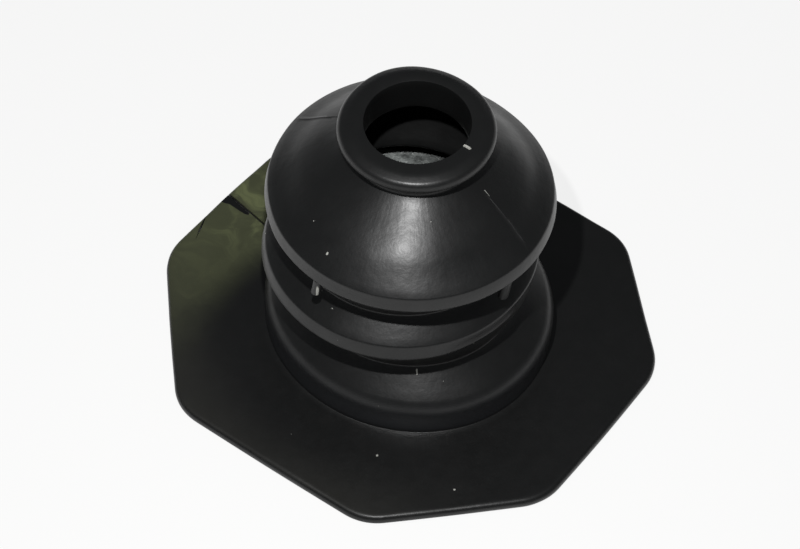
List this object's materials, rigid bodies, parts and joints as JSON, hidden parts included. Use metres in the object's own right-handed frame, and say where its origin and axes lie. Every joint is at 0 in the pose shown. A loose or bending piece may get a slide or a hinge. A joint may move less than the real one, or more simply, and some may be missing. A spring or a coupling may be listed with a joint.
{
  "type": "rubber bellows boot",
  "caption": "One-piece moulded rubber bellows boot with an octagonal flange, stepped folds and a thick collar around a top bore, slit once through the flange.",
  "frame": {"origin": "on the bellows axis, at the underside of the flange, which is the bottom centre of the bounding box", "axes": "+Z along the bellows axis from the flange up to the collar and the bore, which is the shortest extent; +Y towards the hidden side of the flange, with the slit at 135 degrees from +X"},
  "size_m": [0.157, 0.1543, 0.102],
  "materials": {
    "moulded_rubber": "satin black"
  },
  "bodies": {
    "root": {"bellows_boot": "moulded_rubber"}
  },
  "joints": []
}
